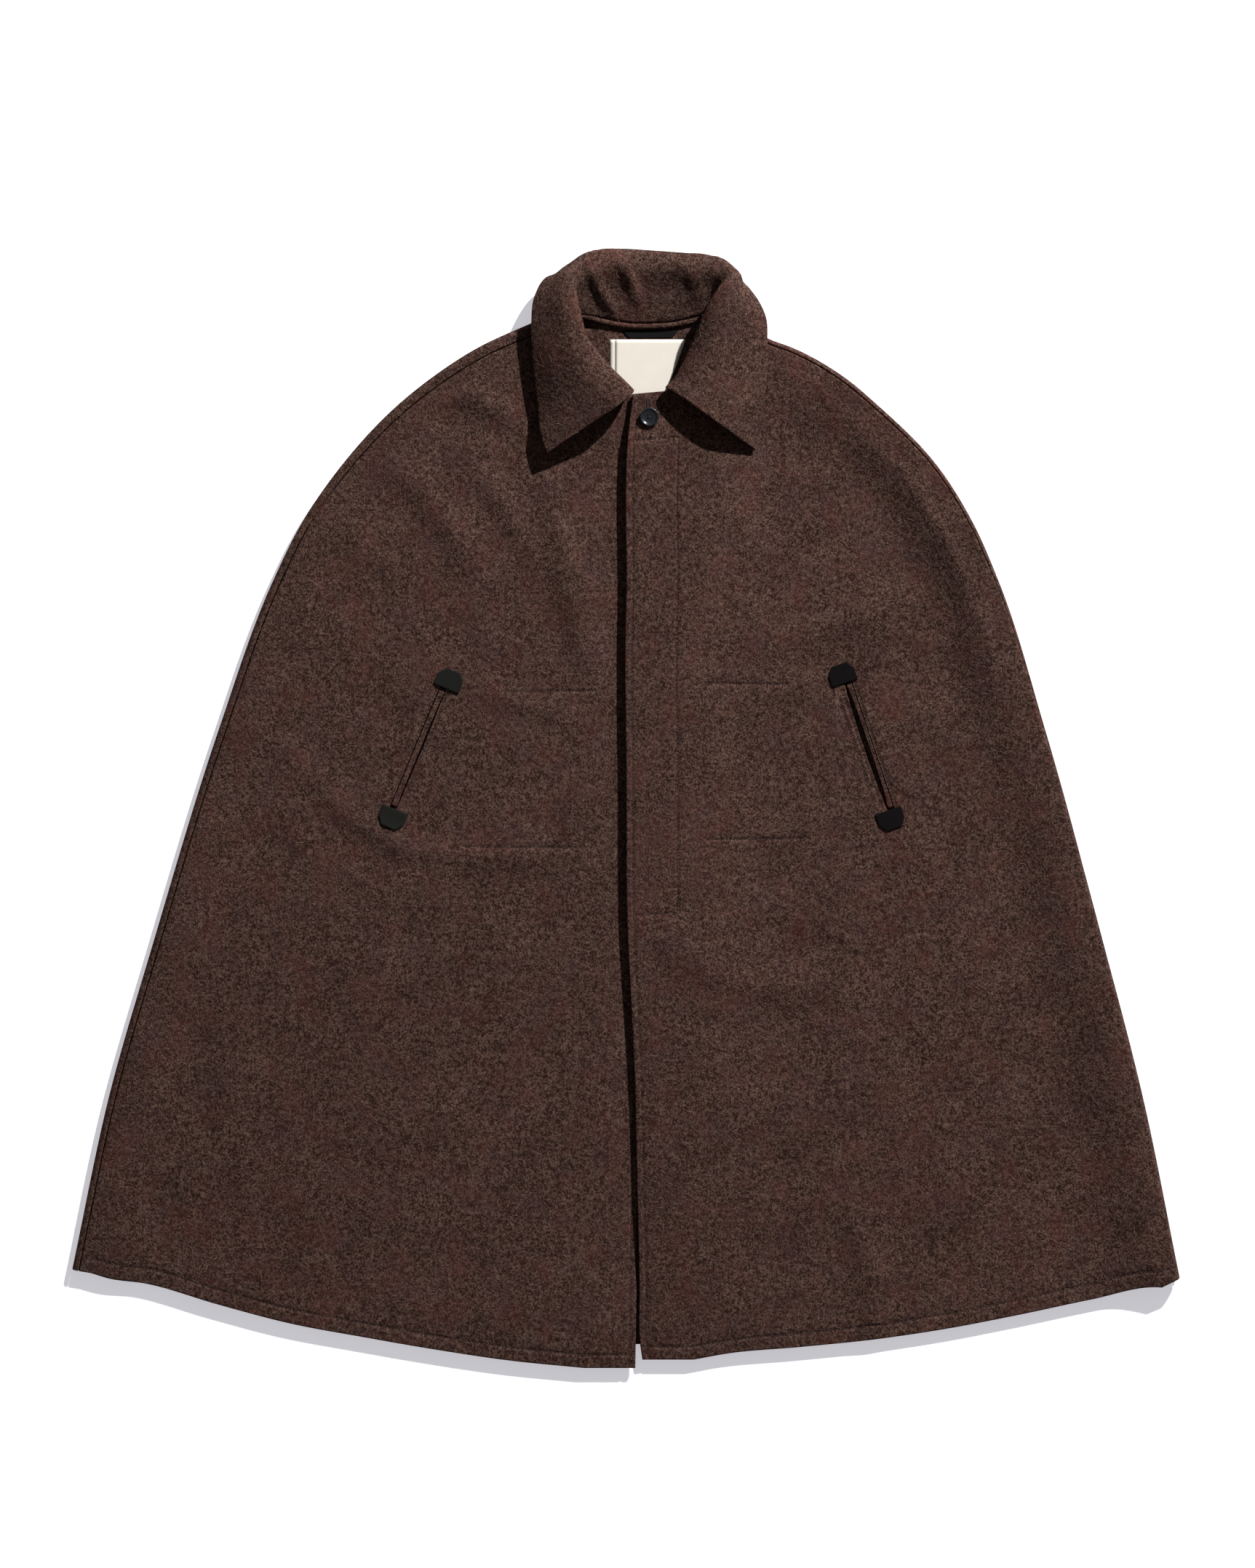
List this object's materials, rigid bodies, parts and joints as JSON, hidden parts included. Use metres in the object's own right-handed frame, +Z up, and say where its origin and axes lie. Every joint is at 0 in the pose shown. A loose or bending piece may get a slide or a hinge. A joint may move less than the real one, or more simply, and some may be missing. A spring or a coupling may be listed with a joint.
{
  "type": "collared wool cape",
  "caption": "Wool cape laid flat, with a turn-down shirt collar, a button at the neck over a concealed fly, slanted hand slits with leather tabs, and no hood or sleeves.",
  "frame": {"origin": "middle of the cape's box, on the surface it lies on", "axes": "+X to the wearer's left (right in the picture), +Y from the hem to the collar, +Z up from the surface"},
  "size_m": [1.1857, 1.1981, 0.0443],
  "materials": {
    "wool": "brushed heathered wool, dark brown with pale hairs",
    "leather": "matt, near black",
    "dark_label": "close satin weave, bare",
    "pale_label": "smooth printed-label cloth, bare",
    "button": "polished black"
  },
  "bodies": {
    "root": {"back_panel": "wool", "front_right": "wool", "front_left": "wool", "front_facing": "wool", "fly_strip": "wool", "collar": "wool", "neck_binding": "wool", "neck_label": "dark_label", "care_label": "pale_label", "slit_welt_right": "wool", "slit_welt_left": "wool", "slit_tab_right_top": "leather", "slit_tab_right_bottom": "leather", "slit_tab_left_top": "leather", "slit_tab_left_bottom": "leather", "neck_button": "button"}
  },
  "joints": []
}
